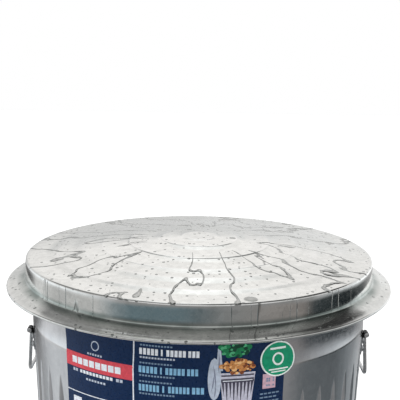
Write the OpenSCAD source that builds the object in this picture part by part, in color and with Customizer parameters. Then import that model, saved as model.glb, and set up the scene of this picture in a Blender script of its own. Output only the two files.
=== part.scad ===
// Galvanised steel waste can with a loose lid and two drop handles.
// Origin: centre of the base on the floor. +Z up, label towards -Y, handles on +X and -X.

/* [Can] */
// Height of the can from the floor to the top of its rolled rim
can_h = 661; // [600:1:720]
// Outer radius at the shoulder crease, the widest place of the wall
shoulder_r = 237.5; // [236.5:0.5:238]
// Height of the shoulder crease
shoulder_z = 574; // [570:1:578]
// How far the wall closes in below the shoulder, per mm of height
taper = 0.036; // [0.03:0.001:0.045]
// Outer radius of the neck between the shoulder and the rim
neck_r = 235; // [233.5:0.5:236.5]
// Height at which the flare from the shoulder reaches the neck
neck_z = 604; // [595:1:615]
// Sheet thickness of the wall, bottom and lid
sheet = 0.6; // [0.6:0.1:0.9]

/* [Flutes] */
// Number of pressed flutes around the wall
flute_count = 48; // [36:2:52]
// Depth of a flute
flute_depth = 3.5; // [3:0.5:5]
// Width of a flute at full depth
flute_w = 16; // [12:1:20]
// Height of the top end of a flute
flute_top_z = 515; // [480:1:520]
// Height of the lower end of a flute
flute_foot_z = 40; // [30:1:60]

/* [Rim and base] */
// Diameter of the steel wire rolled into the rim
wire_d = 5; // [4:0.5:5]
// Height of the recessed bottom above the floor
bottom_z = 14; // [12:1:20]
// Height of the folded seam around the foot
seam_h = 10; // [8:1:12]

/* [Lid] */
// Outer radius of the brim
brim_r = 273; // [270:1:280]
// Outer radius of the skirt
skirt_r = 246.5; // [246.5:0.5:248]
// Height of the skirt from its top edge down to the brim
skirt_h = 28.5; // [26:0.5:30]
// Drop from the top edge of the skirt to the lower edge of the brim
brim_drop = 40.3; // [38:0.1:44]
// Rise of the stepped top above the edge of the skirt
dome_h = 24; // [24:1:28]

/* [Handles] */
// Diameter of the handle wire
bail_d = 5; // [4.5:0.5:5]
// Distance between the middles of a handle's two legs
bail_w = 82; // [76:1:86]
// Drop from the pivot to the grip bar
bail_drop = 65; // [50:0.5:66]
// Height of the handle pivots
pivot_z = 559.5; // [557:0.5:561]
// Distance of the pivot line from the middle of the can
pivot_x = 236.3; // [236.3:0.1:237.5]
// Outward lean of a hanging handle, whose bar rests near the wall
bail_lean = 3.5; // [2:0.5:6]

/* [Label] */
// Left edge of the paper label, as an angle from the front
label_left = -44.5; // [-60:0.5:-30]
// Right edge of the paper label, as an angle from the front
label_right = 26.5; // [20:0.5:40]
// Top edge of the label
label_top_z = 612; // [600:1:616]
// Bottom edge of the label
label_foot_z = 300; // [200:1:400]
// Radius of the round sticker
sticker_r = 22.5; // [15:0.5:25]
// Angle of the sticker's middle from the front
sticker_angle = 23.6; // [15:0.1:30]
// Height of the sticker's middle
sticker_z = 587; // [580:1:590]

/* [Hidden] */

$fn = 144;
fit = 0.05;              // running and touching clearance between neighbouring pieces
rest_gap = 0.3;          // gap between the lid and the rim that carries it

curl_r = wire_d / 2 + fit + sheet;         // outer radius of the rolled rim
curl_z = can_h - curl_r;                   // height of the rolled rim's middle
curl_x = neck_r + wire_d / 2 + fit;        // radius of the rolled rim's middle

// Outer radius of the wall at a height: tapered, then curving in to the neck, then straight
function wall_r(z) = z > neck_z ? neck_r
    : z > shoulder_z ? neck_r + (shoulder_r - neck_r) * pow((neck_z - z) / (neck_z - shoulder_z), 2)
    : shoulder_r - taper * (shoulder_z - z);
// Heights between z0 and z1 at which the wall's outline has its ends and corners
flare_parts = 5;
flare_zs = [for (i = [0 : flare_parts]) shoulder_z + i * (neck_z - shoulder_z) / flare_parts];
function wall_heights(z0, z1) = [z0, for (z = flare_zs) if (z > z0 && z < z1) z, z1];
// The wall's outline moved outwards, upwards from z0 to z1, and the same line downwards
function line_up(z0, z1, out) = [for (z = wall_heights(z0, z1)) [wall_r(z) + out, z]];
function line_down(z0, z1, out) = let (p = line_up(z0, z1, out)) [for (i = [len(p) - 1 : -1 : 0]) p[i]];

wall_foot = sheet + fit;                   // the wall stands in the fold of the seam
slope = atan(taper);

flute_r = (flute_depth * flute_depth + flute_w * flute_w / 4) / (2 * flute_depth);
flute_mid_z = (flute_top_z + flute_foot_z) / 2;
flute_l = (flute_top_z - flute_foot_z) / cos(slope);

corner_r = 9;                              // bend radius at the ends of the grip bar
pin_bend_r = 4;                            // bend radius from a leg to its pin
pin_head_r = 3.2;
pin_head_t = 1.6;

ear_w = 11.2;                              // width of an ear's plate, a little less than its loop
ear_gap = 0.15;                            // clearance between an ear's plate and the wall
ear_t = 1.2;                               // sheet thickness of an ear
ear_h = 32;                                // height of an ear's plate
ear_fn = 720;                              // circle steps along the wall, fine enough for a thin plate
ear_above = 3;                             // how far the plate reaches above the pivot
loop_l = 12;                               // length of an ear's rolled loop
ear_y = bail_w / 2 + pin_bend_r + fit + loop_l / 2;   // middle of an ear, along the pivot line
loop_r = bail_d / 2 + fit + ear_t;
ear_angle = asin(ear_y / (pivot_x + ear_t));
rivet_d = 5;
rivet_head_d = 9;
rivet_head_h = 2.2;
rivet_z = [pivot_z - 10, pivot_z - 22];

paper = 0.2;                               // thickness of the label and of the sticker
paper_gap = 0.25;

seam_angle = 2.4;                          // width of the side seam at the back, in degrees
seam_t = 1.1;                              // how far the side seam stands out

galvanised = [0.72, 0.74, 0.76];
wire_grey = [0.55, 0.57, 0.58];
navy = [0.08, 0.15, 0.28];
green = [0.0, 0.55, 0.36];

// Everything inside the wall's outline from z0 up to z1
module filled_wall(out, z0, z1) {
    rotate_extrude() polygon(concat([[0, z0]], line_up(z0, z1, out), [[0, z1]]));
}

// Part of a sheet on the wall, between two distances out of it and over an angle
module wall_patch(angle, z0, z1, inner, outer) {
    rotate_extrude(angle = angle) polygon(concat(line_up(z0, z1, outer), line_down(z0, z1, inner)));
}

// One long bar that presses a flute into the wall; grow makes it fatter all round
module flute_tool(angle, grow) {
    rotate(angle)
        translate([wall_r(flute_mid_z) + flute_r - flute_depth, 0, flute_mid_z])
            rotate([0, slope, 0])
                cylinder(h = flute_l + 2 * grow, r = flute_r + grow, center = true);
}

module all_flutes(grow) {
    for (i = [0 : flute_count - 1])
        flute_tool((i + 0.5) * 360 / flute_count, grow);
}

// The two places on each side where an ear is riveted on
module at_ear(side, end) {
    rotate(side > 0 ? end * ear_angle : 180 - end * ear_angle) children();
}

// A place on the tapered wall at a height, with Z pointing straight out of the sheet
module on_taper(z) {
    translate([wall_r(z), 0, z]) rotate([0, 90 + slope, 0]) children();
}

module rivet_holes() {
    for (side = [-1, 1], end = [-1, 1], z = rivet_z)
        at_ear(side, end)
            on_taper(z) cylinder(h = 16, d = rivet_d + 2 * fit, center = true);
}

// Sheet wall: fluted below, plain above the shoulder, rolled over a wire at the top
module body_wall() {
    color(galvanised) {
        difference() {
            union() {
                difference() {
                    filled_wall(0, wall_foot, curl_z);
                    all_flutes(0);
                    difference() {
                        filled_wall(-sheet, wall_foot - 1, curl_z + 1);
                        all_flutes(sheet);
                    }
                }
                side_seam();
            }
            rivet_holes();
        }
        rolled_rim();
    }
}

// Lock seam down the back of the wall
module side_seam() {
    rotate(90 - seam_angle / 2)
        wall_patch(seam_angle, seam_h + 2, curl_z - curl_r - 2, -sheet / 2, seam_t);
}

// Sheet curled outwards around the rim wire, open only in a slot at its lower inner side
module rolled_rim() {
    rotate_extrude()
        translate([curl_x, curl_z])
            difference() {
                circle(curl_r);
                circle(curl_r - sheet);
                polygon([[0, 0], [-curl_r * 1.4, 0], [-curl_r * 1.4, -curl_r * 2],
                    [-curl_r * 0.4, -curl_r * 2]]);
            }
}

module rim_wire() {
    color(wire_grey)
        rotate_extrude() translate([curl_x, curl_z]) circle(wire_d / 2);
}

// Recessed bottom whose edge goes down inside the wall and folds up around its foot
module bottom_pan() {
    in_top = wall_r(bottom_z - 3) - sheet - fit;
    in_low = wall_r(0) - sheet - fit;
    out_low = wall_r(wall_foot) + fit;
    out_top = wall_r(seam_h) + fit;
    dish_r = 176;
    color(galvanised)
        rotate_extrude()
            polygon([[0, bottom_z + 3], [dish_r, bottom_z + 3], [dish_r + 5, bottom_z],
                [in_top - sheet - 3, bottom_z], [in_top, bottom_z - 3], [in_low, wall_foot - fit],
                [out_low, wall_foot - fit], [out_top, seam_h], [out_top + sheet, seam_h],
                [out_low + sheet, sheet], [out_low, 0], [in_low, 0], [in_low - sheet, sheet],
                [in_top - sheet, bottom_z - 3 - sheet], [in_top - sheet - 3, bottom_z - sheet],
                [dish_r + 5 - sheet / 2, bottom_z - sheet], [dish_r - sheet / 2, bottom_z + 3 - sheet],
                [0, bottom_z + 3 - sheet]]);
}

// Drop handle on the +X side: grip bar, two legs and two pins in one bent wire
module bail() {
    leg_y = bail_w / 2;
    bar_y = leg_y - corner_r;
    pin_out = ear_y + loop_l / 2 + fit;
    color(wire_grey)
        translate([pivot_x, 0, pivot_z]) rotate([0, -bail_lean, 0]) {
            translate([0, bar_y, -bail_drop]) rotate([90, 0, 0]) cylinder(h = 2 * bar_y, d = bail_d);
            for (s = [-1, 1]) mirror([0, s < 0 ? 1 : 0, 0]) {
                translate([0, bar_y, corner_r - bail_drop]) rotate([90, 0, 90]) rotate([0, 0, -90])
                    rotate_extrude(angle = 90) translate([corner_r, 0]) circle(d = bail_d);
                translate([0, leg_y, corner_r - bail_drop])
                    cylinder(h = bail_drop - corner_r - pin_bend_r, d = bail_d);
                translate([0, leg_y + pin_bend_r, -pin_bend_r]) rotate([90, 0, 90]) rotate([0, 0, 90])
                    rotate_extrude(angle = 90) translate([pin_bend_r, 0]) circle(d = bail_d);
                translate([0, leg_y + pin_bend_r, 0]) rotate([-90, 0, 0])
                    cylinder(h = pin_out + pin_head_t - leg_y - pin_bend_r, d = bail_d);
                translate([0, pin_out, 0]) rotate([-90, 0, 0]) cylinder(h = pin_head_t, r = pin_head_r);
            }
        }
}

// Riveted sheet ear with a rolled loop for a handle's pin; end is -1 in front, 1 at the rear
module ear(end) {
    half = asin(ear_w / 2 / pivot_x);
    z0 = pivot_z + ear_above - ear_h;
    z1 = pivot_z + ear_above;
    color(galvanised)
        difference() {
            union() {
                rotate(end * ear_angle - half) wall_patch(2 * half, z0, z1, -2, ear_t, $fn = ear_fn);
                translate([pivot_x, end * ear_y - loop_l / 2, pivot_z])
                    rotate([-90, 0, 0]) cylinder(h = loop_l, r = loop_r);
                translate([pivot_x - 9, end * ear_y - loop_l / 2, pivot_z - loop_r])
                    cube([9, loop_l, loop_r]);
            }
            filled_wall(ear_gap, z0 - 10, z1 + 10, $fn = ear_fn);
            translate([pivot_x, end * ear_y - loop_l, pivot_z])
                rotate([-90, 0, 0]) cylinder(h = 2 * loop_l, d = bail_d + 2 * fit);
            rivet_holes();
        }
}

// Two domed rivets through an ear and the wall, with flat tails inside
module rivets(end) {
    seat = ear_t + 2 * fit;
    tail = -sheet - 2 * fit;
    color(wire_grey)
        for (z = rivet_z)
            rotate(end * ear_angle) on_taper(z) rotate_extrude()
                polygon([[0, tail - 1.2], [rivet_d / 2 + 1.2, tail - 1.2], [rivet_d / 2 + 1.2, tail],
                    [rivet_d / 2, tail], [rivet_d / 2, seat], [rivet_head_d / 2, seat],
                    [rivet_head_d / 2 - 0.3, seat + 0.35 * rivet_head_h],
                    [rivet_head_d / 2 - 1.3, seat + 0.75 * rivet_head_h],
                    [rivet_head_d / 4 - 0.4, seat + rivet_head_h], [0, seat + rivet_head_h]]);
}

module on_left() { mirror([1, 0, 0]) children(); }

// Lid: shallow stepped top, straight skirt around the rim, and a sloping brim with a rolled edge
lid_z = can_h + rest_gap + sheet;          // top edge of the skirt
edge_r = 4;
hem_r = 1.9;
steps = [[0, 24], [25, 24], [31, 22.8], [54, 21.8], [66, 18.8], [100, 17.2], [114, 13.8], [139, 12.5],
    [151, 9.6], [166, 8.8], [180, 5.4], [202, 4.2], [214, 1.4]];
lid_top = [for (p = steps) [p[0], p[1] * dome_h / 24]];
lid_edge = [for (a = [90 : -18 : 0]) [skirt_r - edge_r + edge_r * cos(a), edge_r * sin(a) - edge_r]];
under_edge = [for (a = [0 : 18 : 90])
    [skirt_r - edge_r + (edge_r - sheet) * cos(a), (edge_r - sheet) * sin(a) - edge_r]];
hem_x = brim_r - hem_r;
hem_z = hem_r - brim_drop;
lid_line = concat(lid_top, lid_edge,
    [[skirt_r, 1.2 - skirt_h], [skirt_r + 1.6, -skirt_h - 0.4], [hem_x, hem_z + hem_r]],
    [[hem_x, hem_z + hem_r - sheet], [skirt_r + 1.0, -skirt_h - 0.4 - sheet],
        [skirt_r - sheet, 0.6 - skirt_h]],
    under_edge, [for (i = [len(lid_top) - 1 : -1 : 0]) [lid_top[i][0], lid_top[i][1] - sheet]]);

module lid_shell() {
    color(galvanised)
        translate([0, 0, lid_z]) {
            rotate_extrude() polygon(lid_line);
            rotate_extrude() translate([hem_x, hem_z])
                difference() {
                    circle(hem_r);
                    circle(hem_r - sheet);
                }
        }
}

// Thin curved sheet on the outside of the wall, from z0 to z1 and between two angles from the front
module wall_skin(from, to, z0, z1, lift) {
    rotate(from - 90) wall_patch(to - from, z0, z1, lift, lift + paper);
}

// Paper label, smooth over the flutes
module label() {
    color(navy) wall_skin(label_left, label_right, label_foot_z, label_top_z, paper_gap);
}

module round_sticker() {
    color(green)
        intersection() {
            wall_skin(sticker_angle - 12, sticker_angle + 12, sticker_z - 40, sticker_z + 40,
                2 * paper_gap + paper);
            rotate(sticker_angle - 90) translate([shoulder_r - 30, 0, sticker_z])
                rotate([0, 90, 0]) cylinder(h = 60, r = sticker_r);
        }
}

body_wall();
rim_wire();
bottom_pan();
on_left() bail();  // left_bail
bail();  // right_bail
on_left() ear(-1);  // left_front_ear
on_left() ear(1);  // left_rear_ear
ear(-1);  // right_front_ear
ear(1);  // right_rear_ear
on_left() rivets(-1);  // left_front_rivets
on_left() rivets(1);  // left_rear_rivets
rivets(-1);  // right_front_rivets
rivets(1);  // right_rear_rivets
lid_shell();
label();
round_sticker();
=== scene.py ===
"""Looks of a galvanised steel waste can with a loose lid, two drop handles and a paper label.

Lengths named here are in millimetres and become metres in mesh_piece(); materials work in metres, so their
scales count waves per metre. Angles of things on the wall are degrees from the front (-Y), positive
towards +X.
"""
import math

import bpy
import numpy as np
from mathutils import Matrix, Vector, noise


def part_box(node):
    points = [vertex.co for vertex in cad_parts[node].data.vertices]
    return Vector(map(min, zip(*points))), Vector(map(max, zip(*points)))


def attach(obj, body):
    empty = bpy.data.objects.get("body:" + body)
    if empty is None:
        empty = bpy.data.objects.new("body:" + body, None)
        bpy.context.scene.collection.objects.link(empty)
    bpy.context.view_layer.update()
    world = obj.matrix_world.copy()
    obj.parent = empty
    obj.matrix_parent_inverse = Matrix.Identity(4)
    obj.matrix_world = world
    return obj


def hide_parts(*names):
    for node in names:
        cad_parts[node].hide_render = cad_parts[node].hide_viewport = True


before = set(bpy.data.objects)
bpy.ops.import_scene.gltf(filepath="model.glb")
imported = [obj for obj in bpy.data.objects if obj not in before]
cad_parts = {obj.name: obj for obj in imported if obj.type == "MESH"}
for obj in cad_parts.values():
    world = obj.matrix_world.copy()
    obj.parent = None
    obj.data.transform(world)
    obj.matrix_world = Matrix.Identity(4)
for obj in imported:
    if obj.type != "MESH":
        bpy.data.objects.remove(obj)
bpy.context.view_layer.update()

MM = 0.001

# ---------------------------------------------------------------- sizes

LID_LOW, LID_HIGH = (np.array(corner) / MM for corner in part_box("lid_shell"))
WALL_LOW, WALL_HIGH = (np.array(corner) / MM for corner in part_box("body_wall"))
BAIL_HIGH = np.array(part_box("right_bail")[1]) / MM

SHEET = 0.6
WIRE_R = 2.5
FIT = 0.05

SHOULDER_R, SHOULDER_Z = 237.5, 574.0
NECK_R, NECK_Z = 235.0, 604.0
TAPER = 0.036
FOOT_Z = WALL_LOW[2]
CURL_R = WIRE_R + FIT + SHEET
CURL_Z = WALL_HIGH[2] - CURL_R
CURL_X = NECK_R + WIRE_R + FIT

FLUTES = 48
FLUTE_DEPTH = 4.0
FLUTE_HALF_W = 6.4
FLUTE_TOP, FLUTE_FOOT = 536.0, 36.0
FLUTE_RUN = 34.0
# Heights at which the wall's slight waves have faded out, near its foot and near its rim
WAVES_LOW, WAVES_HIGH = 12.0, 650.0
SEAM_HALF_W, SEAM_STAND, SEAM_FOOT = 4.6, 1.0, 13.0

BRIM_R = LID_HIGH[0]
BRIM_Z = LID_LOW[2]
SKIRT_R = 246.5
SKIRT_TOP = BRIM_Z + 40.3
SKIRT_FOOT = SKIRT_TOP - 28.5
HEM_R = 1.9

PIVOT_X, PIVOT_Z = 236.3, 559.5
BAIL_DROP, BAIL_LEAN = 65.0, math.radians(3.5)
BAIL_HALF_W = 41.0
PIN_END = BAIL_HIGH[1]
PIN_HEAD_R, PIN_HEAD_L = 3.2, 1.6

LABEL_LEFT, LABEL_RIGHT = -44.5, 26.5
LABEL_TOP, LABEL_FOOT = 612.0, 300.0
LABEL_SPREAD = 1.8
PAPER = 0.2
LABEL_LIFT = 0.25
INK_LIFT = 0.15

# ---------------------------------------------------------------- mesh helpers


def mesh_piece(name, verts, faces, material, body, slot, smooth_angle=None, wear=None):
    """A mesh object from points in millimetres, riding on a body."""
    mesh = bpy.data.meshes.new(name)
    mesh.from_pydata((np.asarray(verts, float) * MM).tolist(), [], faces)
    if wear is not None:
        mesh.attributes.new("wear", "FLOAT", "POINT").data.foreach_set("value", np.asarray(wear, np.float32))
    mesh.materials.append(material)
    mesh.shade_smooth()
    if smooth_angle:
        mesh.set_sharp_from_angle(angle=math.radians(smooth_angle))
    mesh.update()
    piece = bpy.data.objects.new(name, mesh)
    bpy.context.scene.collection.objects.link(piece)
    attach(piece, body)
    return piece


def ring_faces(rows, columns):
    """Quads between the rows of a grid that closes on itself along its columns."""
    faces = []
    for i in range(rows - 1):
        a, b = i * columns, (i + 1) * columns
        faces += [(a + j, a + (j + 1) % columns, b + (j + 1) % columns, b + j) for j in range(columns)]
    return faces


def rounded(points, radius, steps=5):
    """The outline with each inner corner replaced by a short curve that starts radius before it."""
    points = [np.array(p, float) for p in points]
    out = [points[0]]
    for before, corner, after in zip(points, points[1:], points[2:]):
        into, away = corner - before, after - corner
        reach = min(radius, 0.45 * np.linalg.norm(into), 0.45 * np.linalg.norm(away))
        start = corner - into / np.linalg.norm(into) * reach
        end = corner + away / np.linalg.norm(away) * reach
        for t in np.linspace(0, 1, steps):
            out.append((1 - t) ** 2 * start + 2 * t * (1 - t) * corner + t * t * end)
    out.append(points[-1])
    return out


def refined(points, step):
    """The outline with extra points so that no stretch is longer than step."""
    out = [np.array(points[0], float)]
    for a, b in zip(points, points[1:]):
        a, b = np.array(a, float), np.array(b, float)
        count = max(1, int(math.ceil(np.linalg.norm(b - a) / step)))
        out += [a + (b - a) * k / count for k in range(1, count + 1)]
    return np.array(out)


def turned(r, z, turn):
    """Points of a surface turned about Z, one row per height; r has one radius per row or per point."""
    r = np.broadcast_to(r, (len(z), len(turn)))
    height = np.repeat(z[:, None], len(turn), 1)
    return np.stack([r * np.cos(turn), r * np.sin(turn), height], -1).reshape(-1, 3)


def tube(path, radii, sides):
    """Points and faces of a closed round tube along a path, with its own radius at each point."""
    path = np.array(path, float)
    tangents = np.gradient(path, axis=0)
    tangents /= np.linalg.norm(tangents, axis=1)[:, None]
    normal = np.cross(tangents[0], (1.0, 0.3, 0.2))
    verts = []
    for point, tangent, radius in zip(path, tangents, radii):
        normal = normal - tangent * np.dot(normal, tangent)
        normal /= np.linalg.norm(normal)
        side = np.cross(tangent, normal)
        for k in range(sides):
            turn = 2 * math.pi * k / sides
            verts.append(point + radius * (math.cos(turn) * normal + math.sin(turn) * side))
    faces = ring_faces(len(path), sides)
    last = (len(path) - 1) * sides
    faces += [tuple(range(sides))[::-1], tuple(range(last, last + sides))]
    return verts, faces


def ripple(points, size, seed):
    """Smooth noise between -1 and 1 at each point, with waves of about the given size."""
    shift = Vector((seed * 7.3, seed * 3.1, seed * 5.7))
    return np.array([noise.noise(Vector(p) / size + shift) for p in points])


# ---------------------------------------------------------------- shape of the wall


def sharp_wall_r(z):
    """Outer radius of the plain wall: tapered, curving in to the neck, then straight."""
    z = np.asarray(z, float)
    flare = NECK_R + (SHOULDER_R - NECK_R) * ((NECK_Z - z) / (NECK_Z - SHOULDER_Z)) ** 2
    below = SHOULDER_R - TAPER * (SHOULDER_Z - z)
    return np.where(z > NECK_Z, NECK_R, np.where(z > SHOULDER_Z, flare, below))


def wall_r(z):
    """The same with its crease softened a little."""
    z = np.asarray(z, float)
    return sum(sharp_wall_r(z + dz) for dz in (-1.2, -0.6, 0.0, 0.6, 1.2)) / 5


def flute_dip(turn, z):
    """How far a flute presses the wall in at a turn about +Z from +X (radians) and a height."""
    pitch = 2 * math.pi / FLUTES
    off_middle = np.abs((turn / pitch) % 1.0 - 0.5) * pitch * SHOULDER_R
    run = np.minimum(FLUTE_TOP - z, z - FLUTE_FOOT) / FLUTE_RUN
    run = np.clip(run, 0.0, 1.0) ** 0.7
    across = np.clip(1 - off_middle / (FLUTE_HALF_W * run + 1e-6), 0.0, 1.0)
    return FLUTE_DEPTH * run * across ** 1.1


def on_wall(angle, z, out):
    """Points on the smooth wall at angles from the front and heights, lifted out by a distance."""
    angle, z = np.radians(angle), np.asarray(z, float)
    r = wall_r(z) + out
    return np.stack([r * np.sin(angle), -r * np.cos(angle), z], -1)


def wall_heights():
    """Heights of the rows of the wall's mesh, closer together where its shape changes."""
    # Each run goes on from the one before it: (height of its end, distance between its rows)
    runs = [(FLUTE_FOOT - 6, 5), (FLUTE_FOOT + 42, 3), (FLUTE_TOP - 41, 12), (FLUTE_TOP + 6, 2),
            (SHOULDER_Z - 8, 5), (SHOULDER_Z + 8, 1), (NECK_Z - 6, 4), (NECK_Z + 6, 1.5), (CURL_Z, 6)]
    rows = [FOOT_Z]
    for end, step in runs:
        start = rows[-1]
        count = max(1, round((end - start) / step))
        rows += [start + (end - start) * k / count for k in range(1, count + 1)]
    return np.array(rows)


def wall_turns():
    """Angles about Z of the columns of the wall's mesh, close together inside each flute."""
    pitch = 2 * math.pi / FLUTES
    half_groove = FLUTE_HALF_W / (SHOULDER_R * pitch)
    side = half_groove * np.array((0.12, 0.3, 0.5, 0.7, 0.88, 1.0, 1.12, 1.4, 1.7))
    share = 0.5 + np.concatenate([-side[::-1], [0.0], side])
    return np.concatenate([(k + share) * pitch for k in range(FLUTES)])


def wall_outline():
    """Outline of the wall, up outside, around the rim wire and down inside, and which points have flutes."""
    z = wall_heights()
    curl = np.radians(np.linspace(180, -115, 30))[1:]
    bend = np.stack([np.cos(curl), np.sin(curl)], 1)
    middle = np.array((CURL_X, CURL_Z))
    outer = np.stack([wall_r(z), z], 1)
    inner = np.stack([wall_r(z) - SHEET, z], 1)
    rolled = [middle + (CURL_R - SHEET) * bend, (middle + CURL_R * bend)[::-1]]
    outline = np.concatenate([outer, *rolled, inner[::-1]])
    fluted = np.zeros(len(outline), bool)
    fluted[:len(outer)] = True
    fluted[-len(inner):] = True
    return outline, fluted


def build_wall(material):
    """The sheet wall as one closed shell: fluted outside and inside, curled over the rim wire."""
    turn = wall_turns()
    outline, fluted = wall_outline()
    rows, columns = len(outline), len(turn)
    dips = flute_dip(turn[None, :], outline[:, 1][:, None])
    points = turned(outline[:, 0][:, None] - np.where(fluted[:, None], dips, 0.0), outline[:, 1], turn)
    swell = 0.35 * ripple(points, 95.0, 1) + 0.08 * ripple(points, 31.0, 2)
    above_foot = np.clip((points[:, 2] - WAVES_LOW) / 20, 0, 1)
    below_rim = np.clip((WAVES_HIGH - points[:, 2]) / 30, 0, 1)
    radial = points[:, :2] / np.linalg.norm(points[:, :2], axis=1)[:, None]
    points[:, :2] += radial * (swell * above_foot * below_rim)[:, None]

    faces = ring_faces(rows, columns)
    last = (rows - 1) * columns
    faces += [(last + j, last + (j + 1) % columns, (j + 1) % columns, j) for j in range(columns)]
    near_crease = np.exp(-((points[:, 2] - SHOULDER_Z) / 3.0) ** 2) * 0.5
    on_rim = (points[:, 2] > CURL_Z - 1) * 0.6
    wall = mesh_piece("wall_sheet", points, faces, material, "can", "galvanised_wall",
                      wear=np.maximum(near_crease, on_rim))
    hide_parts("body_wall")


def build_seam(material):
    """The lock seam down the back of the wall, a flat fold with rounded edges."""
    left, right = -SEAM_HALF_W, SEAM_HALF_W
    cross = [(left, -0.3), (left + 0.2, 0.6), (left + 0.9, SEAM_STAND), (right - 1.4, SEAM_STAND + 0.1),
             (right - 0.5, 0.8), (right, 0.1), (right, -0.3)]
    heights = np.concatenate([np.linspace(SEAM_FOOT, SHOULDER_Z - 4, 80),
                              np.linspace(SHOULDER_Z - 3, NECK_Z + 4, 24),
                              np.linspace(NECK_Z + 8, CURL_Z - CURL_R - 1, 8)])
    verts = []
    for z in heights:
        r = float(wall_r(z))
        for across, out in cross:
            turn = math.pi / 2 + across / r
            verts.append(((r + out) * math.cos(turn), (r + out) * math.sin(turn), z))
    faces = ring_faces(len(heights), len(cross))
    last = (len(heights) - 1) * len(cross)
    faces += [tuple(range(len(cross)))[::-1], tuple(range(last, last + len(cross)))]
    mesh_piece("side_seam", verts, faces, material, "can", "galvanised_wall", smooth_angle=50)


# ---------------------------------------------------------------- lid


# Stepped top of the lid: (radius, height above the top of the skirt)
LID_STEPS = [(0, 24.0), (25, 24.0), (27, 23.3), (31, 22.8), (54, 21.8), (56.5, 20.9), (66, 19.0), (100, 17.2),
             (102.5, 16.2), (114, 14.4), (139, 12.1), (141, 11.6), (151, 10.0), (166, 8.3), (180, 5.8),
             (202, 3.8), (214, 1.6)]
# Radii at which the steps begin, where the zinc is rubbed brighter
LID_TIERS = (25, 54, 100, 139, 166, 202)


def lid_outlines():
    """Upper and lower outline of the lid from the axis to the hem, with their rounding."""
    top = [(r, SKIRT_TOP + h) for r, h in LID_STEPS]
    edge = [(SKIRT_R - 0.4, SKIRT_TOP), (SKIRT_R, SKIRT_FOOT), (BRIM_R - HEM_R, BRIM_Z + 2 * HEM_R)]
    upper = rounded(top, 2.2)[:-1] + rounded([top[-1]] + edge, 3.4, 7)
    under = [(r, z - SHEET) for r, z in top]
    under_edge = [(SKIRT_R - 0.4 - SHEET, SKIRT_TOP - SHEET), (SKIRT_R - SHEET, SKIRT_FOOT - SHEET),
                  (BRIM_R - HEM_R, BRIM_Z + 2 * HEM_R - SHEET)]
    lower = rounded(under, 2.2)[:-1] + rounded([under[-1]] + under_edge, 2.9, 7)
    return refined(upper, 6.0), refined(lower, 6.0)


def wave_lid(points, r):
    """Moves the lid's points a little, so that its top, skirt and brim are as uneven as real sheet."""
    radial = points[:, :2] / r[:, None]
    flat_points = points * np.array((1.0, 1.0, 0.0))
    off_middle = np.abs(points[:, 2] - (SKIRT_TOP + SKIRT_FOOT) / 2)
    on_top = np.clip((SKIRT_R - 14.5 - r) / 12, 0, 1)
    on_skirt = np.clip(1 - off_middle / 14, 0, 1) * (r > SKIRT_R - 2)
    on_brim = np.clip((r - SKIRT_R - 3) / 12, 0, 1)
    points[:, 2] += on_top * (0.35 * ripple(flat_points, 80.0, 3) + 0.06 * ripple(flat_points, 24.0, 4))
    points[:, 2] += on_brim * (0.6 * ripple(flat_points, 80.0, 5) + 0.12 * ripple(flat_points, 26.0, 6))
    points[:, :2] += radial * (on_skirt * 0.35 * ripple(points, 60.0, 7))[:, None]


def lid_wear(points, r):
    """How rubbed the zinc is at each point of the lid: on its steps, its corner and its hem."""
    tiers = sum(np.exp(-((r - tier) / 2.5) ** 2) for tier in LID_TIERS)
    corner = np.exp(-((r - SKIRT_R) / 2.5) ** 2) * (points[:, 2] > SKIRT_TOP - 4)
    return np.clip(0.5 * tiers + corner + (r > BRIM_R - 4) * 0.5, 0, 1)


def build_lid(material):
    """The pressed lid as one closed shell with a rolled hem around its brim."""
    columns = 480
    upper, lower = lid_outlines()
    roll = np.radians(np.linspace(78, -205, 16))
    hem = np.stack([BRIM_R - HEM_R + HEM_R * np.cos(roll), BRIM_Z + HEM_R + HEM_R * np.sin(roll)], 1)
    outline = np.concatenate([upper[1:], hem, lower[1:][::-1]])
    points = turned(outline[:, 0][:, None], outline[:, 1], np.arange(columns) * 2 * math.pi / columns)
    r = np.linalg.norm(points[:, :2], axis=1)
    wave_lid(points, r)

    top_pole, under_pole = len(points), len(points) + 1
    last = (len(outline) - 1) * columns
    faces = [face[::-1] for face in ring_faces(len(outline), columns)]
    faces += [(top_pole, j, (j + 1) % columns) for j in range(columns)]
    faces += [(under_pole, last + (j + 1) % columns, last + j) for j in range(columns)]
    verts = np.concatenate([points, [(0, 0, upper[0][1]), (0, 0, lower[0][1])]])
    wear = np.append(lid_wear(points, r), (0, 0))
    lid = mesh_piece("lid_sheet", verts, faces, material, "lid", "galvanised_lid", wear=wear)
    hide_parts("lid_shell")


# ---------------------------------------------------------------- handles


def bail_path():
    """One half of a handle's wire from the middle of its grip bar to its pin, as (along, up) points."""
    corners = [(0, -BAIL_DROP), (BAIL_HALF_W, -BAIL_DROP), (BAIL_HALF_W, 0), (PIN_END - PIN_HEAD_L, 0)]
    base = rounded(corners[:3], 11.0, 12)[:-1]
    top = rounded([base[-1]] + corners[2:], 5.0, 10)[1:]
    return refined(base + top, 6.0)


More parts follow.
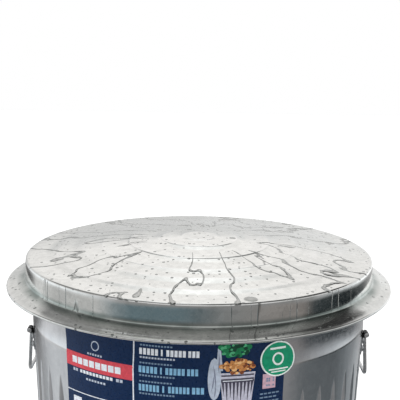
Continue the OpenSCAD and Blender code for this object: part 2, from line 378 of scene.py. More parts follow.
def build_bail(side, material):
    """One drop handle with a head on each pin; side is 1 on +X and -1 on -X."""
    half = [(y, z, WIRE_R) for y, z in bail_path()]
    head = PIN_END - PIN_HEAD_L
    half += [(head + 0.05, 0, PIN_HEAD_R - 0.3), (head + 0.4, 0, PIN_HEAD_R), (PIN_END - 0.4, 0, PIN_HEAD_R),
             (PIN_END, 0, PIN_HEAD_R - 0.5)]
    wire = [(-y, z, r) for y, z, r in half[:0:-1]] + half
    path = [(side * (PIVOT_X - z * math.sin(BAIL_LEAN)), y, PIVOT_Z + z * math.cos(BAIL_LEAN))
            for y, z, r in wire]
    verts, faces = tube(path, [r for y, z, r in wire], 28)
    name = "right" if side > 0 else "left"
    bail = mesh_piece(f"{name}_handle_wire", verts, faces, material, f"{name}_handle", "handle_wire",
                      smooth_angle=40)
    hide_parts(f"{name}_bail")


# ---------------------------------------------------------------- label


def wall_patch(left, right, low, high, out, step=1.2):
    """A grid of points on the wall; left and right are angles or functions of the share of its height."""
    rows = max(2, int((high - low) / 3.0) + 1)
    share = np.linspace(0, 1, rows)
    left_at = np.array([left(t) if callable(left) else left for t in share])
    right_at = np.array([right(t) if callable(right) else right for t in share])
    columns = max(2, int(np.max(right_at - left_at) / step) + 2)
    across = np.linspace(0, 1, columns)
    angle = left_at[:, None] + (right_at - left_at)[:, None] * across
    z = np.repeat((low + (high - low) * share)[:, None], columns, 1)
    points = on_wall(angle, z, out).reshape(-1, 3)
    faces = [(i * columns + j, i * columns + j + 1, (i + 1) * columns + j + 1, (i + 1) * columns + j)
             for i in range(rows - 1) for j in range(columns - 1)]
    return points, faces, rows, columns


def thick_patch(points, faces, rows, columns, thickness):
    """Closes a wall patch into a thin sheet by adding its back and its edges."""
    radial = points * np.array((1, 1, 0))
    radial /= np.linalg.norm(radial, axis=1)[:, None]
    back = points - radial * thickness
    count = len(points)
    border = ([j for j in range(columns)] + [i * columns + columns - 1 for i in range(1, rows)]
              + [(rows - 1) * columns + j for j in range(columns - 2, -1, -1)]
              + [i * columns for i in range(rows - 2, 0, -1)])
    closed = list(faces) + [tuple(count + k for k in face[::-1]) for face in faces]
    closed += [(b, a, count + a, count + b) for a, b in zip(border, border[1:] + border[:1])]
    return np.concatenate([points, back]), closed


def blocks(ink, left, right, low, high, layer, width, gap):
    """A printed line as a row of plain blocks."""
    count = max(1, round((right - left + gap) / (width + gap)))
    step = (right - left + gap) / count
    return [(ink, left + step * k, left + step * (k + 1) - gap, low, high, layer) for k in range(count)]


# Columns of the label, in degrees: its divider, and the left ends of the lines on either side of it
DIVIDER_LEFT, DIVIDER_RIGHT = -19.35, -18.95
TITLE_LEFT, TEXT_LEFT, SMALL_LEFT = -17.4, -17.2, -36.0


def left_panel():
    """The left part of the label: red band with its row of blocks, small rows and the divider."""
    shapes = [("red", LABEL_LEFT, DIVIDER_LEFT + 0.15, 557.0, 576.5, 1),
              ("white", DIVIDER_LEFT, DIVIDER_RIGHT, LABEL_FOOT, LABEL_TOP, 1),
              ("white", LABEL_LEFT, DIVIDER_LEFT, 523.0, 524.2, 1)]
    shapes += blocks("white", -41.6, -23.2, 562.4, 571.2, 2, 1.9, 0.4)
    shapes += blocks("white", -38.4, -26.0, 551.4, 555.6, 1, 1.0, 0.3)
    shapes += blocks("pale", -41.4, -39.4, 551.4, 555.4, 1, 0.7, 0.3)
    shapes += blocks("pale", -24.8, -22.6, 551.4, 555.4, 1, 0.7, 0.3)
    shapes += blocks("pale", -36.0, -28.6, 543.6, 546.4, 1, 0.7, 0.35)
    shapes += blocks("pale", -35.4, -29.8, 578.6, 581.0, 1, 0.7, 0.35)
    shapes += [("white", -41.8, -38.2, 498.0, 517.0, 1), ("rose", -40.9, -39.2, 503.5, 511.5, 2)]
    for row in range(4):
        low = 511.5 - 5 * row
        shapes += blocks("dull", SMALL_LEFT, -24.0 - 2.5 * (row % 2), low, low + 1.8, 1, 1.4, 0.4)
    return shapes + [("dull", -41.0, -22.0, 470 - 16 * row, 474 - 16 * row, 1) for row in range(9)]


def title_lines():
    """Three large lines of blocks in the middle of the label, each between two rows of small ones."""
    words = ((0.0, 0.32), (0.37, 0.40), (0.46, 0.78), (0.82, 1.0))
    lines = [("white", "pale", 600.0, 592.0, 0.5), ("sky", "dull", 578.0, 569.6, 0.2),
             ("sky", "dull", 554.6, 546.0, 2.0)]
    shapes = []
    for ink, small_ink, high, low, end in lines:
        span = end - TITLE_LEFT
        for start, stop in words:
            left, right = TITLE_LEFT + span * start, TITLE_LEFT + span * stop
            shapes += blocks(ink, left, right, low, high, 1, 0.85, 0.32)
        shapes += blocks(small_ink, TEXT_LEFT, -6.6, low - 4.6, low - 2.4, 1, 0.6, 0.3)
        shapes += blocks("dull", TEXT_LEFT, -7.4, high + 2.8, high + 4.8, 1, 0.6, 0.3)
    return shapes


def small_lines():
    """Rows of small blocks under the large lines and at the right edge, and bars near the foot."""
    shapes = []
    for row in range(7):
        low = 522 - 7 * row
        shapes += blocks("dull", TEXT_LEFT, -4.0 - 1.5 * (row % 3), low, low + 2, 1, 1.6, 0.4)
    for row in range(6):
        low = 541 - 5 * row
        shapes += blocks("dull", 18.8, 25.0 - 0.8 * (row % 2), low, low + 1.8, 1, 1.1, 0.3)
    return shapes + [("dull", -15.0, 12.0 - 3 * (row % 2), 440 - 18 * row, 445 - 18 * row, 1)
                     for row in range(7)]


def square_mark():
    """A pale square with a plain pattern of dots, in place of a printed code."""
    shapes = [("rose", 19.5, 23.7, 548.4, 567.6, 1)]
    for row in range(5):
        for column in range(5):
            if (row * 3 + column * 2 + row * column) % 3:
                left, low = 20.0 + 0.68 * column, 551.4 + 2.9 * row
                shapes.append(("dull", left, left + 0.5, low, low + 2.1, 2))
    return shapes


def ink_shapes():
    """Plain shapes printed on the label: (ink, left, right, low, high, layer)."""
    return left_panel() + title_lines() + small_lines() + square_mark()


# Picture on the label: a bin seen from the front, narrower at its foot
BIN_LEFT, BIN_RIGHT, BIN_TOP, BIN_FOOT, BIN_NARROW = 6.5, 17.1, 573.0, 476.0, 2.4


def across_bin(share, height):
    """Angle at a share of the pictured bin's width, at a share of its height."""
    inset = BIN_NARROW * (1 - height)
    return BIN_LEFT + inset + (BIN_RIGHT - BIN_LEFT - 2 * inset) * share


def can_picture():
    """The pictured bin with its ribs and rim bands: (ink, left, right, low, high, layer)."""
    shapes = [("steel", lambda t: across_bin(0, t), lambda t: across_bin(1, t), BIN_FOOT, BIN_TOP, 1)]
    for k in range(9):
        middle, reach = 0.06 + 0.11 * k, 26 - 1.6 * abs(k - 4) + 9 * (k % 2)

        def edge(t, side, middle=middle):
            return across_bin(middle, 0.7 + 0.2 * t) + side * 0.42 * t
        shapes.append(("grey", lambda t, edge=edge: edge(t, -1), lambda t, edge=edge: edge(t, 1),
                       BIN_TOP - 10 - reach, BIN_TOP - 10, 2))
    for low, high in ((-12.6, -7.6), (-4.4, -2.6)):
        shapes.append(("grey", across_bin(0.02, 0.92), across_bin(0.98, 0.92),
                       BIN_TOP + low, BIN_TOP + high, 3))
    shapes.append(("white", across_bin(0.06, 0.9), across_bin(0.94, 0.9), BIN_TOP - 10.6, BIN_TOP - 9.6, 4))
    return shapes + pictured_bag()


def pictured_bag():
    """The bag that hangs over the left side of the pictured bin, with a few folds."""
    middle, reach = 4.95, 1.95
    folds = ((4.0, 0.8, 548, 572), (5.4, -0.9, 552, 584), (4.9, 0.3, 541, 556), (6.0, 0.2, 574, 598))

    def bulge(t, side):
        return middle + side * reach * math.sqrt(max(0.0, 1 - (2 * t - 1) ** 2))
    shapes = [("pale", lambda t: bulge(t, -1), lambda t: bulge(t, 1), 538.0, 592.0, 1),
              ("pale", lambda t: 5.4 + 0.5 * t, lambda t: 7.4 - 0.7 * t, 576.0, 604.0, 1)]
    for start, lean, low, high in folds:
        shapes.append(("steel_dark", lambda t, start=start, lean=lean: start + lean * t,
                       lambda t, start=start, lean=lean: start + lean * t + 0.35 * math.sin(math.pi * t),
                       low, high, 2))
    return shapes


def blob_on_wall(angle, z, radius, squeeze, out):
    """The rim of a small round sheet lying on the wall, flattened by squeeze."""
    sides = 14
    turn = np.arange(sides) * 2 * math.pi / sides
    across = np.degrees(radius * np.cos(turn) / SHOULDER_R)
    return on_wall(angle + across, z + squeeze * radius * np.sin(turn), out)


# Heaps above the pictured bin: (inks, number of blobs, middle, half width and height, radius of the big
# blobs, radii of the small ones, squeeze, layer). The first blobs are big ones that fill the heap.
GREENS = ("leaf", "leaf_dark", "leaf_light")
AMBERS = ("amber", "amber_light", "amber_dark", "amber")
GREEN_HEAP = (GREENS, 64, (10.9, 601.5), (4.5, 8.2), 4.0, (1.6, 3.4), 0.8, 2.0)
AMBER_HEAP = (AMBERS, 80, (11.7, 580.6), (4.9, 8.2), 3.6, (1.3, 2.9), 0.75, 3.2)
BIG_BLOBS = 23


def pictured_heaps():
    """Round blobs of the two heaps in and above the bin: (ink, angle, z, radius, squeeze, layer)."""
    chance = np.random.default_rng(5)
    blobs = []
    for inks, count, middle, half, big, small, squeeze, layer in (GREEN_HEAP, AMBER_HEAP):
        for k in range(count):
            turn, reach = chance.uniform(0, 2 * math.pi), math.sqrt(chance.uniform(0, 1))
            kinds = 2 if inks is GREENS and k < BIG_BLOBS else len(inks)
            blobs.append((inks[k % kinds], middle[0] + half[0] * reach * math.cos(turn),
                          middle[1] + half[1] * reach * math.sin(turn),
                          big if k < BIG_BLOBS else chance.uniform(*small), squeeze, layer + k / count))
    return blobs


def add_faces(verts, faces, more_verts, more_faces):
    """Adds points and the faces between them to the lists of a larger mesh."""
    faces += [tuple(k + len(verts) for k in face) for face in more_faces]
    verts += list(more_verts)


def build_print(ink, material):
    """Everything printed on the label in one ink, each layer lying just above the one under it."""
    paper_top = LABEL_LIFT + PAPER
    verts, faces = [], []
    for kind, left, right, low, high, layer in ink_shapes() + can_picture():
        if kind == ink:
            grid, cells, _, _ = wall_patch(left, right, low, high, paper_top + INK_LIFT * layer)
            add_faces(verts, faces, grid, cells)
    for kind, angle, z, radius, squeeze, layer in pictured_heaps():
        if kind == ink:
            rim = blob_on_wall(angle, z, radius, squeeze, paper_top + INK_LIFT * layer)
            add_faces(verts, faces, rim, [tuple(range(len(rim)))])
    if ink == "pale":
        ring = disc_on_wall(-32.6, 591.0, 6.4, paper_top + INK_LIFT, inner=4.9, sides=40, rings=1)
        add_faces(verts, faces, *ring)
    mesh_piece(f"label_print_{ink}", verts, faces, material, "can", "label_paper")


def build_label(paper, inks):
    """The paper label, whose upper left corner spreads out over the flare, and its printing."""
    bend = (SHOULDER_Z - LABEL_FOOT) / (LABEL_TOP - LABEL_FOOT)

    def left_edge(t):
        return LABEL_LEFT - LABEL_SPREAD * max(0.0, t - bend) / (1 - bend)
    patch = wall_patch(left_edge, LABEL_RIGHT, LABEL_FOOT, LABEL_TOP, LABEL_LIFT + PAPER)
    verts, closed = thick_patch(*patch, PAPER)
    sheet = mesh_piece("label_paper", verts, closed, paper, "can", "label_paper", smooth_angle=40)
    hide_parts("label")
    for ink, material in inks.items():
        build_print(ink, material)


def disc_on_wall(angle, z, radius, out, sides, inner=0.0, rings=6, wide=1.0):
    """Points and faces of a round sheet, or a ring, lying on the wall around a middle point."""
    verts, faces = [], []
    for i in range(rings + 1):
        r = inner + (radius - inner) * i / rings
        for k in range(sides):
            turn = 2 * math.pi * k / sides
            across = math.degrees(wide * r * math.cos(turn) / SHOULDER_R)
            verts.append(on_wall(angle + across, z + r * math.sin(turn), out))
    for i in range(rings):
        a, b = i * sides, (i + 1) * sides
        faces += [(a + k, b + k, b + (k + 1) % sides, a + (k + 1) % sides) for k in range(sides)]
    if inner == 0.0:
        faces = [face for face in faces if min(face) >= sides] + [tuple(range(sides, 2 * sides))]
    return verts, faces


def build_sticker(white, green):
    """The round sticker: a white disc with a green field and a plain ring and bars on it."""
    low, high = (np.array(corner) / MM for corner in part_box("round_sticker"))
    z = (low[2] + high[2]) / 2 - 2.0
    radius = (high[2] - low[2]) / 2 - 0.4
    angle, wide, sides = 24.4, 1.08, 72
    base = LABEL_LIFT + PAPER + 4 * INK_LIFT
    bars = ((-2.6, 2.6, 12.0, 14.6), (-3.2, 3.2, -13.4, -11.6), (-2.4, 2.4, -16.6, -15.0))
    verts, faces = disc_on_wall(angle, z, radius, base, wide=wide, sides=sides)
    back = [on_wall(math.degrees(math.atan2(v[0], -v[1])), v[2], base - PAPER) for v in verts]
    count = len(verts)
    rim = [*range(count - sides, count), count - sides]
    closed = faces + [tuple(count + k for k in face[::-1]) for face in faces]
    closed += [(a, count + a, count + b, b) for a, b in zip(rim, rim[1:])]
    disc = mesh_piece("sticker_paper", verts + back, closed, white, "can", "sticker_paper", smooth_angle=40)
    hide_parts("round_sticker")
    field = disc_on_wall(angle, z, radius - 1.8, base + INK_LIFT, wide=wide, sides=sides)
    mesh_piece("sticker_print_green", *field, green, "can", "sticker_paper")
    verts, faces = disc_on_wall(angle, z, 8.0, base + 2 * INK_LIFT, inner=5.6, rings=2, sides=sides)
    for left, right, foot, top in bars:
        grid, cells, _, _ = wall_patch(angle + left, angle + right, z + foot, z + top, base + 2 * INK_LIFT)
        add_faces(verts, faces, grid, cells)
    mesh_piece("sticker_print_white", verts, faces, white, "can", "sticker_paper")


# ---------------------------------------------------------------- materials


WORN_ZINC = (0.93, 0.93, 0.92)
# Colour of a darker band of painted shade on the brim at the skirt's foot
FOOT_SHADE_ZINC = (0.20, 0.25, 0.23)
# Colour of painted shade at the edges of water and along runs
WATER_EDGE_SHADE = (0.16, 0.17, 0.16)
WATER_HEIGHT = 0.9 * MM


class Nodes:
    """Short ways to add and join the nodes of one material."""

    def __init__(self, name):
        self.material = bpy.data.materials.new(name)
        self.material.use_nodes = True
        self.tree = self.material.node_tree
        self.shader = self.tree.nodes["Principled BSDF"]
        self.place = self.tree.nodes.new("ShaderNodeTexCoord").outputs["Object"]

    def join(self, source, target):
        self.tree.links.new(source, target)

    def stretched(self, scale):
        """The object's coordinates multiplied by a scale for each axis."""
        node = self.tree.nodes.new("ShaderNodeMapping")
        node.inputs["Scale"].default_value = scale
        self.join(self.place, node.inputs["Vector"])
        return node.outputs["Vector"]

    def noise(self, scale, detail=3.0, rough=0.5, vector=None):
        node = self.tree.nodes.new("ShaderNodeTexNoise")
        node.inputs["Scale"].default_value = scale
        node.inputs["Detail"].default_value = detail
        node.inputs["Roughness"].default_value = rough
        self.join(vector or self.place, node.inputs["Vector"])
        return node.outputs["Fac"]

    def cells(self, scale, output="Color"):
        node = self.tree.nodes.new("ShaderNodeTexVoronoi")
        node.inputs["Scale"].default_value = scale
        self.join(self.place, node.inputs["Vector"])
        return node.outputs[output]

    def axes(self):
        """The object's coordinates along X, Y and Z."""
        node = self.tree.nodes.new("ShaderNodeSeparateXYZ")
        self.join(self.place, node.inputs[0])
        return node.outputs[0], node.outputs[1], node.outputs[2]

    def math(self, kind, first, second=0.0):
        node = self.tree.nodes.new("ShaderNodeMath")
        node.operation = kind
        for value, socket in ((first, node.inputs[0]), (second, node.inputs[1])):
            if isinstance(value, (int, float)):
                socket.default_value = value
            else:
                self.join(value, socket)
        return node.outputs[0]

    def times(self, *values):
        """All the values multiplied together."""
        product = values[0]
        for value in values[1:]:
            product = self.math("MULTIPLY", product, value)
        return product

    def span(self, value, low, high, from_low=0.0, from_high=1.0):
        """The value spread from one range to another."""
        node = self.tree.nodes.new("ShaderNodeMapRange")
        ends = {"From Min": from_low, "From Max": from_high, "To Min": low, "To Max": high}
        for name, number in ends.items():
            node.inputs[name].default_value = number
        self.join(value, node.inputs["Value"])
        return node.outputs["Result"]

    def first_channel(self, colour):
        node = self.tree.nodes.new("ShaderNodeSeparateColor")
        self.join(colour, node.inputs["Color"])
        return node.outputs[0]

    def rising(self, value, start, end):
        """0 up to the start, 1 from the end."""
        return self.span(value, 0.0, 1.0, start, end)

    def falling(self, value, start, end):
        """1 up to the start, 0 from the end."""
        return self.span(value, 1.0, 0.0, start, end)

    def blend(self, share, first, second):
        """A colour between two, each a tuple or another node's output."""
        node = self.tree.nodes.new("ShaderNodeMix")
        node.data_type = "RGBA"
        self.join(share, node.inputs["Factor"])
        for value, socket in ((first, node.inputs[6]), (second, node.inputs[7])):
            if isinstance(value, tuple):
                socket.default_value = (*value, 1.0)
            else:
                self.join(value, socket)
        return node.outputs[2]

    def attribute(self, name):
        node = self.tree.nodes.new("ShaderNodeAttribute")
        node.attribute_name = name
        return node.outputs["Fac"]

    def bump(self, height, distance, strength=1.0):
        """Bump from a height between 0 and 1, where 1 is the distance in metres; it adds to earlier bump."""
        node = self.tree.nodes.new("ShaderNodeBump")
        node.inputs["Distance"].default_value = distance
        node.inputs["Strength"].default_value = strength
        self.join(height, node.inputs["Height"])
        normal = self.shader.inputs["Normal"]
        if normal.is_linked:
            self.join(normal.links[0].from_socket, node.inputs["Normal"])
        self.join(node.outputs["Normal"], normal)

    def set(self, **values):
        for name, value in values.items():
            self.shader.inputs[name.replace("_", " ")].default_value = value


def zinc_tone(m, crystal, fine, mottle, streaks):
    """Tone of the zinc between 0 and 1: large and small crystals, clouds, mottling and upright streaks."""
    tone = m.times(crystal, 0.30)
    for part, share in ((fine, 0.14), (m.noise(14.0, 4.0, 0.6), 0.36), (mottle, 0.20)):
        tone = m.math("ADD", tone, m.times(part, share))
    if streaks:
        run = m.noise(1.0, 4.0, 0.65, m.stretched((70.0, 70.0, 5.0)))
        tone = m.math("ADD", m.times(tone, 1 - streaks), m.times(run, streaks))
    return tone


def galvanised(name, bright, water_shade, rough, spangle, streaks=0.0, grain=0.000012, rain_and_shade=False):
    """Zinc-coated sheet: spangle of flat crystals, cloudy tone, fine grain and brighter worn edges."""
    m = Nodes(name)
    m.set(Metallic=1.0)
    crystal = m.first_channel(m.cells(1.0 / spangle))
    fine = m.first_channel(m.cells(2.6 / spangle))
    mottle = m.noise(70.0, 3.0, 0.6)
    tone = zinc_tone(m, crystal, fine, mottle, streaks)
    colour = m.blend(m.rising(tone, 0.28, 0.72), water_shade, bright)
    worn = m.times(m.attribute("wear"), m.span(mottle, 0.2, 1.0, 0.35, 0.6))
    colour = m.blend(worn, colour, WORN_ZINC)
    m.join(colour, m.shader.inputs["Base Color"])
    unevenness = m.math("ADD", m.times(fine, 0.5), m.times(mottle, 0.5))
    m.join(m.span(unevenness, rough - 0.03, rough + 0.03, 0.2, 0.8), m.shader.inputs["Roughness"])
    m.bump(m.noise(900.0, 2.0, 0.6), grain)
    m.bump(crystal, grain * 0.3)
    m.bump(mottle, 0.00003, 0.4)
    if rain_and_shade:
        add_rainwater_and_shade(m, colour)
    return m.material


def add_rainwater_and_shade(m, dry):
    """Rain on the lid as bump: runs, pools, beads and drips, with painted shade in colour at their edges and
    along the runs, and a darker band of painted shade at the skirt's foot.
    """
    across, along, up = m.axes()
    radius = m.math("SQRT", m.math("ADD", m.times(across, across), m.times(along, along)))
    on_top = m.rising(up, (SKIRT_TOP - 2) * MM, (SKIRT_TOP - 1) * MM)
    on_brim = m.rising(radius, (SKIRT_R + 0.5) * MM, (SKIRT_R + 1.5) * MM)
    on_skirt = m.times(m.math("SUBTRACT", 1.0, on_top), m.math("SUBTRACT", 1.0, on_brim))
    run = m.times(outward_runs(m, across, along, radius), on_top)
    bead = m.times(round_beads(m, 150.0, 0.34), m.math("MAXIMUM", on_top, on_brim))
    pool = m.times(round_beads(m, 15.0, 0.17), on_top)
    water = m.math("MAXIMUM", run, m.math("MAXIMUM", bead, pool))
    water = m.math("MAXIMUM", water, m.times(skirt_drips(m), on_skirt, 0.4))

    # Painted shade: a darker band on the brim around the skirt's foot
    foot_shaded = m.blend(m.times(foot_shade_ring(m, radius, up), 0.85), dry, FOOT_SHADE_ZINC)
    # Painted shade: the edges of drops, pools and drips and the whole of each run are darkened in colour,
    # standing in for the dark refraction in the water
    edge = m.times(water, m.math("SUBTRACT", 1.0, water))
    water_shade = m.math("MAXIMUM", m.span(edge, 0.0, 0.75, 0.0, 0.25), m.times(run, 0.55))
    m.join(m.blend(water_shade, foot_shaded, WATER_EDGE_SHADE), m.shader.inputs["Base Color"])
    m.bump(water, WATER_HEIGHT)


def contour(m, noise, half_width, edge):
    """A line along the middle contour of a noise: 1 within its half width, falling to 0 at its edge."""
    off_middle = m.math("ABSOLUTE", m.math("SUBTRACT", noise, 0.5))
    return m.falling(off_middle, half_width, edge)


def outward_runs(m, across, along, radius):
    """Meandering runs of water that go outwards from the lid's middle and break off here and there."""
    around_scale, outward_scale = 3.4, 8.0
    outward = m.tree.nodes.new("ShaderNodeCombineXYZ")
    for axis, value in enumerate((across, along)):
        m.join(m.times(m.math("DIVIDE", value, radius), around_scale), outward.inputs[axis])
    m.join(m.times(radius, outward_scale), outward.inputs[2])
    line = contour(m, m.noise(1.0, 3.0, 0.38, outward.outputs[0]), 0.002, 0.013)
    return m.times(line, m.rising(m.noise(5.0, 2.0), 0.43, 0.46), m.rising(radius, 0.075, 0.085))


def skirt_drips(m):
    """Thin upright drips, with stretches of the skirt left dry."""
    line = contour(m, m.noise(1.0, 2.0, 0.4, m.stretched((34.0, 34.0, 1.5))), 0.001, 0.008)
    return m.times(line, m.rising(m.noise(1.0, 2.0, 0.5, m.stretched((9.0, 9.0, 3.0))), 0.50, 0.54))


def foot_shade_ring(m, radius, up):
    """A darker band of painted shade on the brim around the skirt's foot, in patches."""
    return m.times(m.rising(radius, (SKIRT_R - 1) * MM, SKIRT_R * MM),
                   m.falling(radius, (SKIRT_R + 4) * MM, (SKIRT_R + 13) * MM),
                   m.span(m.noise(26.0, 3.0), 0.55, 1.0, 0.35, 0.60),
                   m.falling(up, (SKIRT_FOOT + 4) * MM, (SKIRT_FOOT + 8) * MM))


def round_beads(m, density, largest):
    """Heights of round drops, some large and most small or missing, with so many places per metre."""
    far = m.cells(density, "Distance")
    size = m.span(m.first_channel(m.cells(density)), 0.02, largest, 0.55, 1.0)
    height = m.math("SUBTRACT", 1.0, m.math("DIVIDE", far, size))
    return m.math("SQRT", m.math("MAXIMUM", height, 0.0))


def steel_wire(name, light, water_shade, rough, metal=1.0):
    """Drawn zinc-plated wire with fine lengthwise draw lines, dull patches and rubbed spots."""
    m = Nodes(name)
    m.set(Metallic=metal)
    patches = m.noise(160.0, 4.0, 0.6)
    m.join(m.blend(m.rising(patches, 0.35, 0.65), water_shade, light), m.shader.inputs["Base Color"])
    m.join(m.span(m.noise(420.0, 3.0), rough - 0.08, rough + 0.12, 0.3, 0.7), m.shader.inputs["Roughness"])
    m.bump(m.noise(1.0, 2.0, 0.5, m.stretched((1500.0, 120.0, 1500.0))), 0.000006)
    m.bump(patches, 0.00002, 0.6)
    return m.material


def ear_metal(name, plate, loop_shade, rough):
    """Zinc-coated ear whose rolled loop, above the plate, is painted near-black as shade, with an uneven
    edge.
    """
    m = Nodes(name)
    m.set(Metallic=1.0)
    loop_foot, uneven = (PIVOT_Z - 5.0) * MM, 3.0 * MM
    patchy_noise = m.noise(220.0, 4.0, 0.65)
    height = m.math("ADD", m.axes()[2], m.times(patchy_noise, uneven))
    zinc = m.blend(m.rising(m.noise(160.0, 4.0, 0.6), 0.35, 0.65), tuple(c * 0.8 for c in plate), plate)
    # Painted shade: above loop_foot the colour turns to the near-black loop colour, standing in for the
    # shadow on the loop
    colour = m.blend(m.rising(height, loop_foot, loop_foot + uneven), zinc, loop_shade)
    m.join(colour, m.shader.inputs["Base Color"])
    m.join(m.span(patchy_noise, rough - 0.06, rough + 0.12, 0.3, 0.7), m.shader.inputs["Roughness"])
    m.bump(m.noise(600.0, 2.0), 0.00001)
    return m.material


def printed_paper(name, colour, rough=0.34):
    """Coated paper with ink on it: slight mottling of the ink, faint fibres and soft waves."""
    m = Nodes(name)
    lighter = tuple(min(1.0, c * 1.12 + 0.004) for c in colour)
    darker = tuple(c * 0.88 for c in colour)
    mottle = m.rising(m.noise(260.0, 4.0, 0.6), 0.35, 0.65)
    m.join(m.blend(mottle, darker, lighter), m.shader.inputs["Base Color"])
    m.join(m.span(m.noise(340.0, 3.0), rough - 0.05, rough + 0.07, 0.3, 0.7), m.shader.inputs["Roughness"])
    m.set(Specular_IOR_Level=0.25)
    m.bump(m.noise(2400.0, 2.0), 0.00001)
    m.bump(m.noise(38.0, 2.0), 0.0006, 0.5)
    return m.material


def pale_floor():
    """Smooth pale studio floor."""
    m = Nodes("pale_floor")
    m.set(Roughness=0.7)
    colour = m.blend(m.noise(6.0, 3.0), (0.90, 0.90, 0.90), (0.93, 0.93, 0.93))
    m.join(colour, m.shader.inputs["Base Color"])
    return m.material


# ---------------------------------------------------------------- light, floor and camera


def glow(level, warmth=0.0):
    """Light of a brightness, warmer than white above 0 and cooler below it."""
    return (level * (1 + 0.30 * warmth), level, level * (1 - 0.14 * warmth), 1.0)


def sky_ramp(tree, around, stops):
    """Light around one band of the sky from (degrees from the front, brightness, warmth) stops."""
    ramp = tree.nodes.new("ShaderNodeValToRGB")
    tree.links.new(around, ramp.inputs["Fac"])
    elements = ramp.color_ramp.elements
    elements.remove(elements[1])
    for k, (degrees, *light) in enumerate(stops):
        at = (degrees + 180.0) / 360.0
        stop = elements[0] if k == 0 else elements.new(at)
        stop.position = at
        stop.color = glow(*light)
    return ramp.outputs["Color"]


# Light by degrees from the front, positive towards +X: (degrees, brightness, warmth)
FLOOR_LIGHT = [(-180, 0.60), (-146, 0.24), (-133, 0.37, -0.1), (-120, 0.63, -0.1), (-95, 0.63, -0.1),
               (-60, 0.35), (-30, 0.20), (40, 0.20), (63, 0.26), (74, 0.14, -0.3), (108, 0.13, -0.3),
               (120, 0.20, -0.3), (133, 0.33, -0.2), (150, 0.55, -0.1), (180, 0.60)]
TABLE_LIGHT = [(-180, 0.50), (-158, 0.17), (-143, 0.10), (-135, 0.30), (-129, 0.68), (-117, 0.68),
               (-104, 0.50), (-67, 0.54), (-54, 0.29, -0.5), (-42, 0.19, -1.0), (-12, 0.18, -1.0),
               (2, 0.15, -0.6), (16, 0.23, -0.1), (45, 0.26, 0.2), (68, 0.21, 0.3), (78, 0.05, -0.6),
               (106, 0.015, -1.0), (118, 0.03, -0.5), (131, 0.10, -0.2), (144, 0.32), (158, 0.44),
               (180, 0.52)]
HORIZON_LIGHT = [(-180, 0.68), (-150, 0.62), (-120, 1.0, -0.15), (-95, 0.95, -0.15), (-75, 0.78, -0.15),
                 (-48, 0.30), (0, 0.22), (60, 0.24), (72, 0.28), (84, 0.42, -0.1), (98, 0.55, -0.15),
                 (112, 0.80, -0.15), (125, 1.15, -0.1), (142, 1.10), (160, 0.92), (180, 0.70)]
WALL_LIGHT = [(-180, 1.0, 0.08), (-170, 0.97, 0.08), (-158, 0.76, 0.05), (-140, 0.66), (-100, 0.75),
              (-60, 0.60), (60, 0.60), (100, 0.80), (145, 0.80), (160, 0.84, 0.05), (172, 0.98, 0.08),
              (180, 1.0, 0.08)]
BEAM_LIGHT = [(-180, 1.25), (-170, 0.90), (-160, 0.35), (-147, 0.20), (-90, 0.30), (-50, 0.75), (50, 0.75),
              (90, 0.20), (140, 0.04), (158, 0.04), (166, 0.45), (172, 1.0), (180, 1.25)]
CEILING_LIGHT = [(-180, 0.36), (-174, 0.45), (-168, 1.1, -0.1), (-158, 1.1, -0.1), (-152, 0.35),
                 (-120, 0.18), (0, 0.30), (120, 0.10), (152, 0.07), (167, 0.10), (174, 0.20), (180, 0.38)]
# Each band above the lowest one fades in between two elevations in degrees
SKY = [(-22.0, -19.5, TABLE_LIGHT), (-15.5, -11.5, HORIZON_LIGHT), (8.0, 16.5, WALL_LIGHT),
       (29.0, 34.0, BEAM_LIGHT), (47.5, 52.0, CEILING_LIGHT)]


def sky_direction(tree):
    """Height of a direction and its angle from the front, as 0 to 1 from -180 to 180 degrees."""
    new, join = tree.nodes.new, tree.links.new
    axes = new("ShaderNodeSeparateXYZ")
    join(new("ShaderNodeTexCoord").outputs["Generated"], axes.inputs[0])
    forward = new("ShaderNodeMath")
    forward.operation = "MULTIPLY"
    forward.inputs[1].default_value = -1.0
    join(axes.outputs["Y"], forward.inputs[0])
    turn = new("ShaderNodeMath")
    turn.operation = "ARCTAN2"
    join(axes.outputs["X"], turn.inputs[0])
    join(forward.outputs[0], turn.inputs[1])
    around = new("ShaderNodeMapRange")
    around.inputs["From Min"].default_value = -math.pi
    around.inputs["From Max"].default_value = math.pi
    join(turn.outputs[0], around.inputs["Value"])
    return axes.outputs["Z"], around.outputs["Result"]


def sky_band(tree, below, height, start, end, light):
    """The sky below a band with the band's light over it, faded in between two elevations in degrees."""
    new, join = tree.nodes.new, tree.links.new
    mask = new("ShaderNodeMapRange")
    mask.interpolation_type = "SMOOTHSTEP"
    mask.inputs["From Min"].default_value = math.sin(math.radians(start))
    mask.inputs["From Max"].default_value = math.sin(math.radians(end))
    join(height, mask.inputs["Value"])
    mix = new("ShaderNodeMix")
    mix.data_type = "RGBA"
    join(mask.outputs["Result"], mix.inputs["Factor"])
    join(below, mix.inputs[6])
    join(light, mix.inputs[7])
    return mix.outputs[2]


def studio_sky():
    """A studio around the can: white behind it, dimmer in front and low on the right, dark overhead."""
    world = bpy.data.worlds.new("studio")
    bpy.context.scene.world = world
    world.use_nodes = True
    tree = world.node_tree
    new, join = tree.nodes.new, tree.links.new
    height, around = sky_direction(tree)
    colour = sky_ramp(tree, around, FLOOR_LIGHT)
    for start, end, stops in SKY:
        colour = sky_band(tree, colour, height, start, end, sky_ramp(tree, around, stops))

    # The camera itself sees plain white behind the can
    seen = new("ShaderNodeMix")
    seen.data_type = "RGBA"
    seen.inputs[7].default_value = (1.0, 1.0, 1.0, 1.0)
    join(new("ShaderNodeLightPath").outputs["Is Camera Ray"], seen.inputs["Factor"])
    join(colour, seen.inputs[6])
    join(seen.outputs[2], tree.nodes["Background"].inputs["Color"])


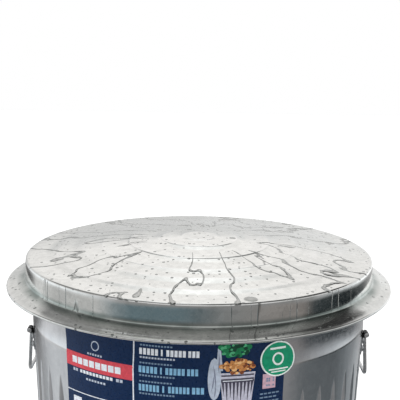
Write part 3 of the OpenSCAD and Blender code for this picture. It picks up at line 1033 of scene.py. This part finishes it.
def build_stage():
    """Floor and soft light from above."""
    half = 9.0  # metres
    corners = [(-half, -half, 0), (half, -half, 0), (half, half, 0), (-half, half, 0)]
    mesh = bpy.data.meshes.new("floor")
    mesh.from_pydata(corners, [], [(0, 1, 2, 3)])
    mesh.materials.append(pale_floor())
    floor = bpy.data.objects.new("floor", mesh)
    bpy.context.scene.collection.objects.link(floor)
    floor.visible_glossy = False

    lamp = bpy.data.lights.new("soft_top", "SUN")
    lamp.energy = 3.4
    lamp.angle = math.radians(100)
    top = bpy.data.objects.new("soft_top", lamp)
    top.rotation_euler = (math.radians(-14), math.radians(-18), 0)
    top.visible_glossy = False
    bpy.context.scene.collection.objects.link(top)

    bpy.context.scene.view_settings.view_transform = "Standard"


def build_camera():
    """The camera stands in front of the can and looks a little down on the lid."""
    distance, above_brim = 1217.0, 354.9
    pitch, roll = math.radians(11.1), math.radians(0.85)
    data = bpy.data.cameras.new("camera")
    data.lens = 78.23
    data.sensor_width = 36.0
    camera = bpy.data.objects.new("camera", data)
    bpy.context.scene.collection.objects.link(camera)
    camera.matrix_world = (Matrix.Translation((0, -distance * MM, (BRIM_Z + above_brim) * MM))
                           @ Matrix.Rotation(math.pi / 2 - pitch, 4, "X") @ Matrix.Rotation(roll, 4, "Z"))
    bpy.context.scene.camera = camera


# ---------------------------------------------------------------- assembly

wall_zinc = galvanised("galvanised_wall", (0.84, 0.85, 0.87), (0.70, 0.71, 0.74), 0.19, 0.009, streaks=0.45,
                       grain=0.000005)
# The lid's rain adds painted shade: darkened water edges and runs, and a darker band at the skirt's foot
lid_zinc = galvanised("galvanised_lid", (0.87, 0.88, 0.855), (0.71, 0.72, 0.70), 0.10, 0.007, grain=0.000006,
                      rain_and_shade=True)
base_zinc = galvanised("galvanised_base", (0.74, 0.75, 0.76), (0.55, 0.56, 0.58), 0.34, 0.009)
bail_steel = steel_wire("handle_wire", (0.76, 0.76, 0.76), (0.60, 0.61, 0.62), 0.18, metal=0.92)
rim_steel = steel_wire("rim_wire", (0.60, 0.61, 0.62), (0.42, 0.43, 0.44), 0.35)
# The near-black second colour of the ears is painted shade on their loops
ear_steel = ear_metal("ear_sheet", (0.74, 0.75, 0.77), (0.035, 0.035, 0.035), 0.34)
rivet_steel = steel_wire("rivets", (0.55, 0.56, 0.57), (0.36, 0.37, 0.38), 0.34)
label_navy = printed_paper("label_navy", (0.0, 0.018, 0.072), 0.30)
INK_COLOURS = {
    "red": (0.62, 0.06, 0.085),
    "white": (0.72, 0.76, 0.82),
    "pale": (0.44, 0.50, 0.60),
    "dull": (0.17, 0.26, 0.38),
    "sky": (0.20, 0.42, 0.62),
    "rose": (0.58, 0.38, 0.46),
    "steel": (0.52, 0.52, 0.62),
    "steel_dark": (0.20, 0.22, 0.30),
    "grey": (0.07, 0.066, 0.10),
    "leaf": (0.005, 0.20, 0.07),
    "leaf_dark": (0.002, 0.06, 0.03),
    "leaf_light": (0.07, 0.42, 0.19),
    "amber": (0.58, 0.24, 0.07),
    "amber_dark": (0.22, 0.06, 0.02),
    "amber_light": (0.80, 0.47, 0.20),
}
label_inks = {ink: printed_paper(f"ink_{ink}", colour) for ink, colour in INK_COLOURS.items()}
sticker_white = printed_paper("sticker_white", (0.80, 0.88, 0.85))
sticker_green = printed_paper("sticker_green", (0.0, 0.30, 0.15))

build_stage()
build_camera()
studio_sky()

build_wall(wall_zinc)
build_seam(wall_zinc)
build_lid(lid_zinc)
build_bail(1, bail_steel)
build_bail(-1, bail_steel)
build_label(label_navy, label_inks)
build_sticker(sticker_white, sticker_green)

CAD_FINISH = {"rim_wire": rim_steel, "bottom_pan": base_zinc}
for end in ("left_front", "left_rear", "right_front", "right_rear"):
    CAD_FINISH[f"{end}_ear"] = ear_steel
    CAD_FINISH[f"{end}_rivets"] = rivet_steel
for node, finish in CAD_FINISH.items():
    for material_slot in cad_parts[node].material_slots:
        material_slot.material = finish
